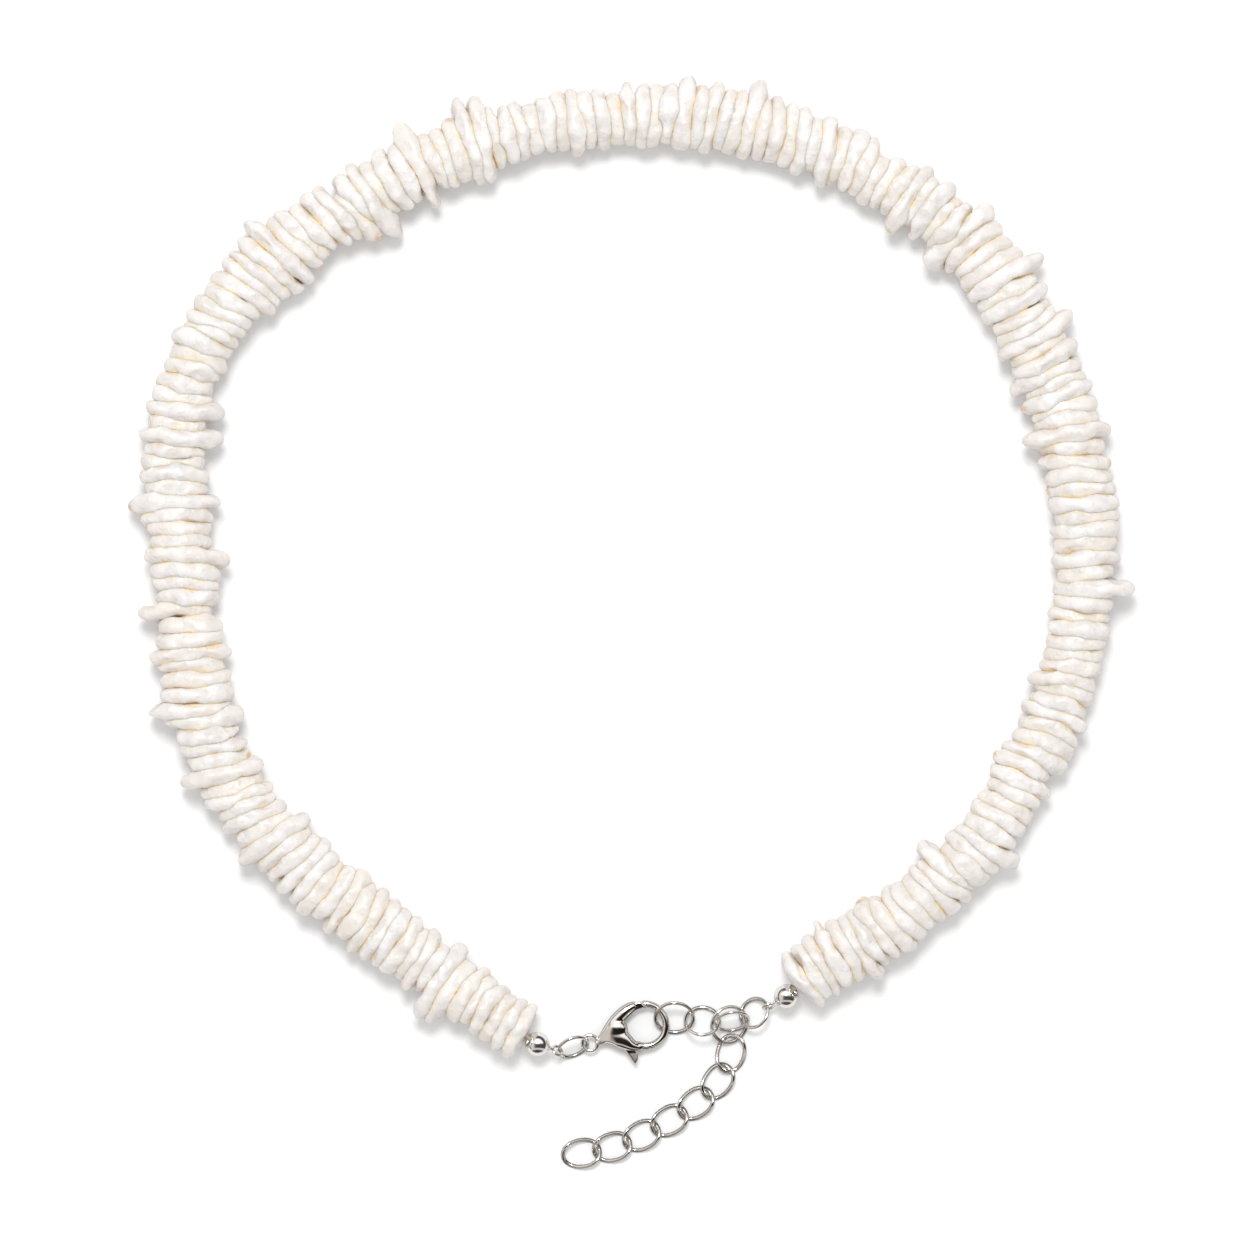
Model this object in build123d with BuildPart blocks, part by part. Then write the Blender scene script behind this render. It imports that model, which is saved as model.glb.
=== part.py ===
"""Puka shell necklace with a lobster claw clasp and an extender chain, laid flat in a loop.

Millimetres. +X is right and +Y is away from the clasp, seen from above. Z is up from the surface
that the necklace lies on, and the origin is on that surface, under the middle of the loop.
"""

import math
import os
import random

from build123d import *

# Shell chips
CHIP_REACH = 5.0
CHIP_UP = 4.3
CHIP_DOWN = 4.2
HUB_SHARE = 0.42
HUB_HALF = 0.84
RIM_SHIFT = 0.2
HOLE_RADIUS = 0.75
HOLE_SIDES = 5
CHIP_GAP = 0.12
NOD_SWING = 6
NOD_WAVES = 9
CHIP_SEED = 7
FILL_TRIES = 4
CORNER_ANGLES = (0, 38, 76, 114, 150, 180, 225, 270, 315)

# Thread
THREAD_RADIUS = 0.25
THREAD_HEIGHT = 4.4
KNOT_RADIUS = 0.75

# Bead tips, the hollow balls that hide the knots
BALL_RADIUS = 1.7
BALL_WALL = 0.35
MOUTH_RADIUS = 0.45
TIP_LOOP_AT = 3.2
TIP_LOOP_RADIUS = 0.72
TIP_WIRE = 0.2
NECK_WIDE = 0.55
NECK_THIN = 0.22
END_CHIP_GAP = 0.35

# Clasp, drawn as it lies, about the middle of its eye
EYE_RADIUS = 1.1
EYE_WIRE = 0.25
CLASP_HALF = 1.5
NECK_HALF = 0.4
CLAW_AT = (7.7, 2.5)
CLAW_RADIUS = 2.97
CLAW_WIDTH = 1.05
CLAW_HALF = 0.5
PIVOT_AT = (3.9, 1.9)
HUB_RADIUS = 0.8
LEVER_HALF = 0.46
LEVER_PLAY = 0.12
RIVET_RADIUS = 0.4
RIVET_PLAY = 0.03
RIVET_INSET = 0.35
GATE_REACH = 5.0
GATE_STEP = 0.15
TAB_REACH = (2.4, 4.85)
LEVER_TRAVEL = 14
SLOT_STEPS = 3

# Extender links
LINK_LENGTH = 5.75
LINK_WIDTH = 4.3
LINK_WIRE = 0.28
LINK_CORNER = 1.7
LINK_TWIST = 0.95
LINK_PLAY = 0.2

# Route of the thread from the left ball to the right one: places seen from above
ROUTE = [
    (-13.3, -59.1), (-16.9, -56.6), (-23.0, -51.8), (-37.0, -41.2), (-51.9, -28.8), (-57.5, -20.4),
    (-60.7, -10.9), (-61.8, -0.4), (-63.4, 11.5), (-64.3, 23.4), (-62.8, 32.8), (-58.3, 41.7),
    (-50.5, 50.4), (-39.6, 58.0), (-28.4, 64.1), (-16.5, 68.6), (-3.2, 70.8), (10.9, 70.8),
    (22.1, 68.0), (33.0, 63.6), (43.1, 57.1), (51.2, 48.4), (56.8, 38.1), (61.3, 26.9),
    (63.4, 14.3), (63.1, 3.1), (61.0, -9.5), (56.5, -18.9), (50.8, -28.8), (43.1, -37.5),
    (33.3, -44.0), (25.6, -48.3), (21.5, -52.4),
]
END_DROP = 0.7

# How the chips change along the string. along: share of the string. lean: degrees that a chip
# turns seen from above. out, into: how far it reaches out of and into the loop, in CHIP_REACH.
STATIONS = [
    # along, lean, out, into
    (0.00, 4, 0.92, 0.92),
    (0.03, 0, 0.96, 0.86),
    (0.07, 6, 1.08, 0.84),
    (0.11, 0, 1.12, 0.84),
    (0.14, -11, 1.00, 0.92),
    (0.165, -14, 1.04, 0.96),
    (0.19, -4, 1.08, 0.96),
    (0.24, -3, 1.04, 1.08),
    (0.27, -7, 1.00, 0.96),
    (0.30, 3, 1.00, 0.96),
    (0.335, 11, 1.00, 0.88),
    (0.365, 2, 1.08, 1.04),
    (0.39, 5, 1.12, 0.88),
    (0.425, 4, 1.08, 0.92),
    (0.47, -7, 1.00, 0.92),
    (0.50, -4, 1.00, 0.92),
    (0.55, -2, 1.08, 0.96),
    (0.58, 8, 0.96, 1.00),
    (0.615, 1, 0.84, 0.92),
    (0.66, -6, 1.04, 1.00),
    (0.70, 2, 1.12, 0.98),
    (0.745, -10, 1.08, 1.04),
    (0.785, 6, 1.00, 0.96),
    (0.815, -3, 0.94, 0.90),
    (0.85, 0, 0.92, 0.98),
    (0.885, 5, 0.84, 0.98),
    (0.92, 6, 0.92, 0.98),
    (0.95, 8, 0.94, 1.00),
    (0.98, 1, 1.00, 1.00),
    (1.00, -12, 1.08, 1.12),
]

# Chips that stand out from the rest, in the same terms
STAND_OUTS = [
    # along, out, into
    (0.034, 1.46, 0.80),
    (0.043, 1.44, 1.14),
    (0.096, 1.28, 0.70),
    (0.111, 1.28, 0.90),
    (0.125, 1.30, 1.26),
    (0.157, 1.44, 1.28),
    (0.175, 1.40, 1.20),
    (0.182, 1.58, 0.78),
    (0.201, 1.42, 1.08),
    (0.218, 1.66, 0.62),
    (0.241, 1.06, 1.54),
    (0.259, 1.40, 1.26),
    (0.283, 1.12, 1.60),
    (0.296, 0.98, 1.42),
    (0.351, 1.26, 1.04),
    (0.369, 1.52, 1.24),
    (0.401, 0.58, 1.36),
    (0.410, 1.30, 1.56),
    (0.430, 1.60, 1.20),
    (0.448, 1.54, 1.22),
    (0.458, 1.60, 1.20),
    (0.474, 0.74, 0.76),
    (0.506, 0.68, 0.78),
    (0.530, 1.26, 0.90),
    (0.556, 1.42, 1.16),
    (0.611, 0.52, 1.10),
    (0.626, 0.92, 1.36),
    (0.648, 1.34, 1.34),
    (0.671, 1.48, 1.12),
    (0.699, 1.70, 1.06),
    (0.712, 1.08, 1.32),
    (0.736, 1.24, 1.42),
    (0.793, 1.48, 0.82),
    (0.833, 0.76, 1.38),
    (0.870, 0.60, 1.24),
    (0.903, 1.36, 0.86),
    (0.916, 0.62, 1.48),
    (0.964, 1.46, 0.98),
    (0.974, 1.10, 1.26),
    (0.996, 1.20, 1.26),
]

# Round rings. at: middle. radius, wire: of the wire's centre line and of the wire. heading: way
# that its first diameter points, seen from above. rise: slope of that diameter. roll: turn about it.
RINGS = {
    # name: at, radius, wire, heading, rise, roll
    "jump_ring_left": ((-8.36, -59.61, 1.98), 2.15, 0.25, 12, -14, 52),
    "chain_ring_1": ((5.88, -55.51, 1.84), 2.66, 0.27, 0, 0, 36),
    "chain_ring_2": ((9.80, -56.00, 1.85), 2.40, 0.25, 0, 0, -40),
    "chain_ring_3": ((13.58, -56.49, 1.40), 2.60, 0.25, 0, -20, 14),
    "jump_ring_right": ((17.08, -54.88, 1.57), 2.15, 0.25, 30, 16, -34),
}
LEFT_LOOP_AT = (-10.53, -60.10, 2.45)
RIGHT_LOOP_AT = (19.02, -53.96, 2.28)
CLASP_AT = (-5.95, -59.08)

# Extender links that hang free from chain_ring_3, each turned to its own heading
TAIL_FROM = -62
TAIL_HEADINGS = (-104, -126, -144, -150, -153, -165, -172)

os.makedirs("parts", exist_ok=True)


def save(part, name):
    part.label = name
    export_step(part, f"parts/{name}.step")


def leaning_plane(at, heading, rise, roll):
    """Plane whose x points along the heading and up the rise, turned by roll about that x."""
    across = Vector(0, 1, 0).rotate(Axis.Z, heading)
    along = Vector(1, 0, 0).rotate(Axis.Z, heading).rotate(Axis((0, 0, 0), across), -rise)
    up = along.cross(across).rotate(Axis((0, 0, 0), along), roll)
    return Plane(origin=at, x_dir=along, z_dir=up)


def between(rows, along):
    """Values of a table at a place between its rows, by straight lines."""
    for low, high in zip(rows, rows[1:]):
        if along <= high[0]:
            share = max(0.0, (along - low[0]) / (high[0] - low[0]))
            return [a + (b - a) * share for a, b in zip(low[1:], high[1:])]
    return list(rows[-1][1:])


# Thread, as straight runs joined by arcs that are as large as the runs allow
points = [Vector(x, y, THREAD_HEIGHT) for x, y in ROUTE]
points[0] -= Vector(0, 0, END_DROP)
points[-1] -= Vector(0, 0, END_DROP)
runs = [b - a for a, b in zip(points, points[1:])]
radii = [
    0.45 * min(a.length, b.length) / math.tan(math.radians(a.get_angle(b) / 2))
    for a, b in zip(runs, runs[1:])
]
with BuildLine() as route_line:
    FilletPolyline(*points, radius=radii)
route = route_line.wires()[0]
if (route @ 0 - points[0]).length > (route @ 1 - points[0]).length:
    route = Wire(route.order_edges()[::-1])

with BuildPart() as thread:
    with BuildSketch(Plane(origin=route @ 0, z_dir=route % 0)):
        Circle(THREAD_RADIUS)
    sweep(path=route)
    with Locations(route @ 0, route @ 1):
        Sphere(KNOT_RADIUS)
save(thread.part, "thread")
print("thread length", round(route.length, 1), "smallest bend", round(min(radii), 1))


def chip_plane(along, lean, nod):
    """Plane of a chip on the thread: x points out of the loop, y up and z along the string."""
    ahead = route.tangent_at(along, position_mode=PositionMode.LENGTH)
    out = Vector(ahead.X, ahead.Y, 0).normalized().rotate(Axis.Z, 90 + lean)
    forward = out.rotate(Axis.Z, -90).rotate(Axis((0, 0, 0), out), nod)
    at = route.position_at(along, position_mode=PositionMode.LENGTH)
    return Plane(origin=at, x_dir=out, z_dir=forward)


def chip_corners(look, out, into, down):
    """Corners of a lens with a thin uneven rim and a small flat round its hole on each side."""
    outline = []
    for angle, bump in zip(CORNER_ANGLES, look["bumps"]):
        turn = math.radians(angle)
        x = (out if math.cos(turn) > 0 else into) * math.cos(turn) * bump
        y = (CHIP_UP * look["up"] if math.sin(turn) > 0 else down) * math.sin(turn) * bump
        outline.append((x, y))
    half = HUB_HALF * look["thick"]
    sections = [(-half, HUB_SHARE), (RIM_SHIFT * look["shift"], 1), (half, HUB_SHARE)]
    return [(x * share, y * share, z) for z, share in sections for x, y in outline]


def reach(plane, corners, way):
    """How far a chip's corners reach from its middle along a direction."""
    x, y, z = plane.x_dir.dot(way), plane.y_dir.dot(way), plane.z_dir.dot(way)
    return max(corner[0] * x + corner[1] * y + corner[2] * z for corner in corners)


def string_chips(gap):
    """Planes and corners of chips threaded one after another, and the slack left after the last."""
    chance = random.Random(CHIP_SEED)
    stand_outs = list(STAND_OUTS)
    ball = [(0, 0, BALL_RADIUS + END_CHIP_GAP - gap)]
    start = Plane(origin=route @ 0, z_dir=route % 0)
    placed = [(start, ball)]
    along, slack, chips = 0.0, 0.0, []
    while slack >= 0:
        chips = placed[1:]
        left = slack
        look = {
            "lean": chance.gauss(0, 2.5),
            "nod": chance.gauss(0, 2.5),
            "size": chance.uniform(0.88, 1.08),
            "up": chance.uniform(0.84, 1.12),
            "down": chance.uniform(0.86, 1.12),
            "thick": chance.uniform(0.84, 1.06),
            "shift": chance.uniform(-1, 1),
            "bumps": [1 if angle in (0, 180, 270) else chance.uniform(0.9, 1.08) for angle in CORNER_ANGLES],
        }
        along += 2 * HUB_HALF
        stands = bool(stand_outs) and along / route.length >= stand_outs[0][0]
        stand_out = stand_outs.pop(0)[1:] if stands else None
        for _ in range(4):
            lean, out, into = between(STATIONS, along / route.length)
            if stand_out:
                out, into = stand_out
            else:
                out, into = out * look["size"], into * look["size"]
            nod = NOD_SWING * math.sin(NOD_WAVES * 2 * math.pi * along / route.length) + look["nod"]
            plane = chip_plane(along, lean + look["lean"], nod)
            down = min(CHIP_DOWN * look["down"], plane.origin.Z)
            corners = chip_corners(look, out * CHIP_REACH, into * CHIP_REACH, down)
            short = []
            for before, before_corners in placed[-3:]:
                way = (before.z_dir + plane.z_dir).normalized()
                apart = reach(before, before_corners, way) + reach(plane, corners, -way) + gap
                short.append(apart - (plane.origin - before.origin).dot(way))
            along += max(short)
            if along > route.length:
                return chips, left
        placed.append((plane, corners))
        ahead = route.tangent_at(along, position_mode=PositionMode.LENGTH)
        slack = route.length - along - reach(plane, corners, ahead) - BALL_RADIUS - END_CHIP_GAP
    return chips, left


def drilled_chip(plane, corners):
    half = max(corner[2] for corner in corners)
    with BuildPart(plane) as chip:
        ConvexPolyhedron(corners)
        with BuildSketch(plane.offset(-2 * half)):
            RegularPolygon(HOLE_RADIUS, HOLE_SIDES)
        extrude(amount=4 * half, mode=Mode.SUBTRACT)
    return chip.part.solids()[0]


# The chips fill the thread: the slack of each try is shared out between them in the next
gap, chips, slack = CHIP_GAP, [], 0.0
for _ in range(FILL_TRIES):
    gap += 0.9 * slack / max(1, len(chips))
    chips, slack = string_chips(gap)
save(Compound([drilled_chip(plane, corners) for plane, corners in chips]), "shell_chips")
print("chips", len(chips), "slack", round(slack, 2))


def bead_tip(at, string_way, loop_at, ring):
    """Hollow ball on the thread's end. Its neck ends in a loop that lies square to the ring in it."""
    axis = (Vector(*loop_at) - at).normalized()
    side = axis.cross(Vector(0, 0, 1)).normalized()
    _, _, _, heading, rise, roll = RINGS[ring]
    across = leaning_plane((0, 0, 0), heading, rise, roll).y_dir
    loop_middle = at + axis * TIP_LOOP_AT
    neck_end = TIP_LOOP_AT - TIP_LOOP_RADIUS
    with BuildPart() as tip:
        with BuildSketch(Plane(origin=at, x_dir=side, z_dir=side.cross(axis))):
            with BuildLine():
                CenterArc((0, 0), BALL_RADIUS, -90, 180)
                Line((0, BALL_RADIUS), (0, -BALL_RADIUS))
            make_face()
            Polygon(
                (0, 0), (NECK_WIDE, BALL_RADIUS * 0.9), (NECK_THIN, neck_end), (0, neck_end), align=None
            )
        revolve(axis=Axis(at, axis))
        with Locations(Plane(origin=loop_middle, z_dir=across).location):
            Torus(TIP_LOOP_RADIUS, TIP_WIRE)
        with Locations(at):
            Sphere(BALL_RADIUS - BALL_WALL, mode=Mode.SUBTRACT)
        with BuildSketch(Plane(origin=at, z_dir=string_way)):
            Circle(MOUTH_RADIUS)
        extrude(amount=2 * BALL_RADIUS, mode=Mode.SUBTRACT)
    return tip.part


save(bead_tip(route @ 0, route % 0, LEFT_LOOP_AT, "jump_ring_left"), "bead_tip_left")
save(bead_tip(route @ 1, -(route % 1), RIGHT_LOOP_AT, "jump_ring_right"), "bead_tip_right")

for name, (at, radius, wire, heading, rise, roll) in RINGS.items():
    with BuildPart() as ring:
        with Locations(leaning_plane(at, heading, rise, roll).location):
            Torus(radius, wire)
    save(ring.part, name)

# One twisted link lying along x: half of it is swept, and the other half is that half turned round
reach_x = LINK_LENGTH / 2 - LINK_WIRE
reach_y = LINK_WIDTH / 2 - LINK_WIRE
with BuildPart() as half_link:
    with BuildLine() as half_path:
        FilletPolyline(
            (0, reach_y, 0),
            (reach_x, reach_y, -LINK_TWIST),
            (reach_x, -reach_y, LINK_TWIST),
            (0, -reach_y, 0),
            radius=LINK_CORNER,
        )
    with BuildSketch(Plane(origin=half_path.wires()[0] @ 0, z_dir=half_path.wires()[0] % 0)):
        Circle(LINK_WIRE)
    sweep()
with BuildPart() as link:
    add(half_link.part)
    add(half_link.part, rotation=(0, 0, 180))
link_height = -link.part.bounding_box().min.Z

# The first link hooks the lower side of chain_ring_3, and each next link the one before
ring_at, ring_radius, ring_wire = RINGS["chain_ring_3"][:3]
turn = Vector(1, 0, 0).rotate(Axis.Z, TAIL_FROM)
first = Vector(1, 0, 0).rotate(Axis.Z, TAIL_HEADINGS[0])
hook = Vector(ring_at[0], ring_at[1]) + turn * (ring_radius - ring_wire - LINK_WIRE - 1.3 * LINK_PLAY)
pitch = LINK_LENGTH - 4 * LINK_WIRE - LINK_PLAY
joint = hook + first * (reach_x - pitch / 2)
for number, heading in enumerate(TAIL_HEADINGS, start=1):
    ahead = Vector(1, 0, 0).rotate(Axis.Z, heading)
    middle = joint + ahead * (pitch / 2)
    joint = middle + ahead * (pitch / 2)
    with BuildPart() as tail_link:
        with Locations(Location((middle.X, middle.Y, link_height), (0, 0, heading))):
            add(link.part)
    save(tail_link.part, f"tail_link_{number}")

# Clasp, seen from above: a wedge from the neck to a round claw, and a lever on a rivet in the wedge
eye_plane = Plane(origin=(*CLASP_AT, CLASP_HALF))
side_plane = Plane(origin=eye_plane.origin, x_dir=(1, 0, 0), z_dir=(0, -1, 0))
claw_outer = CLAW_RADIUS + CLAW_WIDTH / 2
claw_inner = CLAW_RADIUS - CLAW_WIDTH / 2
claw_x, claw_y = CLAW_AT
pivot_x, pivot_y = PIVOT_AT
shoulder = (claw_x - 0.50 * claw_outer, claw_y + 0.93 * claw_outer)
throat = (claw_x - 0.36 * claw_outer, claw_y + 0.64 * claw_outer)
belly = (claw_x - 0.12 * claw_outer, claw_y - 0.993 * claw_outer)

with BuildSketch() as claw_opening:
    with Locations(CLAW_AT):
        Circle(claw_inner)
    Polygon(
        (pivot_x + 0.6, claw_y + 0.3),
        throat,
        (claw_x, claw_y + 0.5 * claw_inner),
        (claw_x - 0.52 * claw_inner, claw_y - 0.82 * claw_inner),
        align=None,
    )


def lever_plan(grow):
    """Outline of the lever seen from above, grown by a play all round."""
    with BuildSketch() as gate:
        with Locations(CLAW_AT):
            Circle(claw_outer - GATE_STEP + grow)
            Circle(claw_inner - grow, mode=Mode.SUBTRACT)
        with Locations(PIVOT_AT):
            Circle(GATE_REACH + grow, mode=Mode.INTERSECT)
        Polygon(
            (throat[0] - 0.8, throat[1] - 0.3),
            (shoulder[0] - 0.4, claw_y + claw_outer),
            (claw_x + claw_outer, claw_y + claw_outer),
            (claw_x, claw_y + 0.5 * claw_inner),
            align=None,
            mode=Mode.INTERSECT,
        )
    with BuildSketch() as plan:
        with Locations(PIVOT_AT):
            Circle(HUB_RADIUS + grow)
        Polygon(
            (pivot_x - 0.6 - grow, pivot_y + 0.55),
            (shoulder[0] - 0.25 - grow, shoulder[1] - 0.5),
            throat,
            (pivot_x + 0.45 + grow, pivot_y + 0.7),
            align=None,
        )
        add(gate.sketch)
        Polygon(
            (pivot_x - 0.35 - grow, pivot_y - 0.7),
            (pivot_x + 1.1 - grow, pivot_y - 2.95),
            (pivot_x + TAB_REACH[0], pivot_y - TAB_REACH[1] - grow),
            (pivot_x + TAB_REACH[0] + 0.4 + grow, pivot_y - TAB_REACH[1] + 0.65),
            (pivot_x + TAB_REACH[0] + 0.42 + grow, pivot_y - TAB_REACH[1] + 1.55),
            (pivot_x + 0.72 + grow, pivot_y - 0.3),
            align=None,
        )
    return plan.sketch


with BuildPart() as clasp_lever:
    with BuildSketch(eye_plane):
        add(lever_plan(0))
        with Locations(PIVOT_AT):
            Circle(RIVET_RADIUS + RIVET_PLAY, mode=Mode.SUBTRACT)
    extrude(amount=LEVER_HALF, both=True)
save(clasp_lever.part, "clasp_lever")

# The slot holds the lever at every turn of its travel
with BuildSketch() as slot_plan:
    for step in range(SLOT_STEPS + 1):
        turn = -LEVER_TRAVEL * step / SLOT_STEPS
        add(lever_plan(LEVER_PLAY).rotate(Axis((pivot_x, pivot_y, 0), (0, 0, 1)), turn))
    with Locations(shoulder):
        Circle(4 * GATE_STEP)

# The round claw runs from the wedge to its nose, which is an arc about the rivet, clear of the gate
with BuildPart() as claw:
    with Locations((claw_x, claw_y, 0)):
        Torus(CLAW_RADIUS, CLAW_WIDTH / 2)
    with BuildSketch():
        with Locations(PIVOT_AT):
            Circle(GATE_REACH + LEVER_PLAY)
        with Locations(CLAW_AT):
            Rectangle(2 * claw_outer, claw_outer, align=(Align.CENTER, Align.MIN), mode=Mode.INTERSECT)
        Polygon(
            (claw_x - claw_outer, claw_y), CLAW_AT, (belly[0] - CLAW_HALF, belly[1]),
            (claw_x - claw_outer, belly[1]), align=None,
        )
    extrude(amount=CLAW_WIDTH, both=True, mode=Mode.SUBTRACT)

with BuildPart(eye_plane) as clasp_body:
    with BuildSketch(eye_plane):
        with BuildLine():
            ThreePointArc((EYE_RADIUS, NECK_HALF), (pivot_x - 0.65, pivot_y + 1.8), shoulder)
            Polyline(shoulder, throat, CLAW_AT, belly)
            ThreePointArc(belly, (pivot_x + 0.3, pivot_y - 2.76), (EYE_RADIUS, -NECK_HALF))
            Line((EYE_RADIUS, -NECK_HALF), (EYE_RADIUS, NECK_HALF))
        make_face()
        add(claw_opening.sketch, mode=Mode.SUBTRACT)
    extrude(amount=CLASP_HALF, both=True)
    with BuildSketch(side_plane):
        profile = [
            (0, NECK_HALF), (EYE_RADIUS + 0.2, NECK_HALF), (pivot_x - 0.8, 0.9 * CLASP_HALF),
            (pivot_x, CLASP_HALF), (shoulder[0] - 0.3, CLASP_HALF), (belly[0], CLAW_HALF), (claw_x, CLAW_HALF),
        ]
        Polygon(*profile, *[(x, -z) for x, z in reversed(profile)], align=None)
    extrude(amount=2 * claw_outer + pivot_y, both=True, mode=Mode.INTERSECT)
    add(claw.part)
    Torus(EYE_RADIUS, EYE_WIRE)
    with BuildSketch(eye_plane):
        add(slot_plan.sketch)
    extrude(amount=LEVER_HALF + LEVER_PLAY, both=True, mode=Mode.SUBTRACT)
    with Locations((pivot_x, pivot_y, 0)):
        rivet_half = CLASP_HALF - RIVET_INSET
        Cylinder(RIVET_RADIUS + RIVET_PLAY, 2 * (rivet_half + RIVET_PLAY), mode=Mode.SUBTRACT)
save(clasp_body.part, "clasp_body")

with BuildPart(eye_plane) as clasp_rivet:
    with Locations((pivot_x, pivot_y, 0)):
        Cylinder(RIVET_RADIUS, 2 * rivet_half)
save(clasp_rivet.part, "clasp_rivet")
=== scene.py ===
# %% [markdown]
# # A puka shell necklace
# A string of drilled shell chips, closed by a lobster claw clasp, with a short extender chain. The CAD
# model gives every chip, ring and clasp part its place. This lesson dresses that frame: lumpy, pearly
# chips pressed together, polished wire links and a cast clasp, lying on a white surface.

# %% Load the frame
import math

import bmesh
import bpy
import numpy as np
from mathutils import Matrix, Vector


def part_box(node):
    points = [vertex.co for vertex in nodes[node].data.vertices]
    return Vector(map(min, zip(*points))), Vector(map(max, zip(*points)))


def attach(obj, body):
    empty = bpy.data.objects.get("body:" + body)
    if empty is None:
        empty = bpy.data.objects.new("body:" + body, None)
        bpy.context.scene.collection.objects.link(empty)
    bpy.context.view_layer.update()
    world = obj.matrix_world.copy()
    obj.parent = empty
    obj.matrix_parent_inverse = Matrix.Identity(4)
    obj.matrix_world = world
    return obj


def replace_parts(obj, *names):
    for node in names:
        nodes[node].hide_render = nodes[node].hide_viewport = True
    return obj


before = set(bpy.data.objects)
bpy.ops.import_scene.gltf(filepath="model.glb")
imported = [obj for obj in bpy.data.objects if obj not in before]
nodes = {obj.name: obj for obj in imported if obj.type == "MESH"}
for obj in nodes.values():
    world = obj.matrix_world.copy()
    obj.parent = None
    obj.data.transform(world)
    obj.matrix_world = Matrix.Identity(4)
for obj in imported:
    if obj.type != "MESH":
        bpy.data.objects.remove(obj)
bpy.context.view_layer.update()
MM = 0.001

# %% [markdown]
# ## Camera
# A product photograph like this is taken from straight above with a long lens. A short lens close by
# would show the sides of the chips near the picture's edges. The camera's height follows from the lens
# and from how wide the picture is where the necklace lies.

# %% Camera straight above
VIEW_WIDE = 175.56 * MM
VIEW_MIDDLE = Vector((-0.77 * MM, -0.70 * MM, 4.0 * MM))
LENS = 200
FAR_CLIP = 20

camera_data = bpy.data.cameras.new("camera")
camera_data.lens = LENS
camera_data.clip_end = FAR_CLIP
camera = bpy.data.objects.new("camera", camera_data)
distance = VIEW_WIDE * LENS / camera_data.sensor_width
camera.location = VIEW_MIDDLE + Vector((0, 0, distance))
bpy.context.collection.objects.link(camera)
bpy.context.scene.camera = camera
print("camera", round(distance, 3), "m above the necklace")

# %% [markdown]
# ## Surface and light
# The necklace lies on a white board, much larger than the picture, so that its edge never shows. One
# round soft light stands above it, towards the top edge of the picture, and drops short pale shadows
# towards the bottom edge. A smaller lamp would draw hard shadows, and a larger one none.

# %% Surface
FLOOR_HALF = 3.0

floor_corners = [(x * FLOOR_HALF, y * FLOOR_HALF, 0) for x, y in ((-1, -1), (1, -1), (1, 1), (-1, 1))]
floor_mesh = bpy.data.meshes.new("floor")
floor_mesh.from_pydata(floor_corners, [], [(0, 1, 2, 3)])
floor = bpy.data.objects.new("floor", floor_mesh)
bpy.context.collection.objects.link(floor)
print("surface", 2 * FLOOR_HALF, "m wide")

# %% Soft light
KEY_AT = Vector((-0.05, 0.42, 1.05))
KEY_WIDE = 0.34
KEY_WATTS = 6.8

key_data = bpy.data.lights.new("key", "AREA")
key_data.shape = "DISK"
key_data.size = KEY_WIDE
key_data.energy = KEY_WATTS
key = bpy.data.objects.new("key", key_data)
key.location = KEY_AT
key.rotation_euler = (-KEY_AT).to_track_quat("-Z", "Y").to_euler()
bpy.context.collection.objects.link(key)
bpy.context.scene.view_settings.view_transform = "Standard"
print("light", round(KEY_AT.length, 2), "m away")

# %% [markdown]
# ## Words for nodes
# A material, the room's light and a Geometry Nodes tree are all trees of nodes. Written out in full,
# each node takes three or four lines. A small class makes a node with its inputs in one line, so that
# each finish and each tree below only says what is its own.

# %% Helper for any tree of nodes
MIX_FIRST, MIX_SECOND, MIX_RESULT = 6, 7, 2


class Tree:
    """Short words for the nodes and links of a tree."""

    def __init__(self, tree):
        self.tree = tree

    def node(self, kind, inputs=None, **settings):
        """A new node, with each input set to a plain value or linked to a socket."""
        made = self.tree.nodes.new(kind)
        for key, value in settings.items():
            setattr(made, key, value)
        for key, value in (inputs or {}).items():
            if isinstance(value, bpy.types.NodeSocket):
                self.tree.links.new(value, made.inputs[key])
            else:
                made.inputs[key].default_value = value
        return made

    def math(self, how, *values):
        return self.node("ShaderNodeMath", dict(enumerate(values)), operation=how).outputs[0]

    def spread(self, value, low, high, to_low=0.0, to_high=1.0):
        """A smooth step from one number to another while the value goes from low to high."""
        inputs = {"Value": value, "From Min": low, "From Max": high, "To Min": to_low, "To Max": to_high}
        return self.node("ShaderNodeMapRange", inputs, interpolation_type="SMOOTHSTEP").outputs["Result"]

    def mix(self, share, first, second):
        """A colour between two colours, each of them plain or a socket."""
        inputs = {0: share}
        for key, value in ((MIX_FIRST, first), (MIX_SECOND, second)):
            inputs[key] = value if isinstance(value, bpy.types.NodeSocket) else (*value, 1)
        return self.node("ShaderNodeMix", inputs, data_type="RGBA").outputs[MIX_RESULT]


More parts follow.
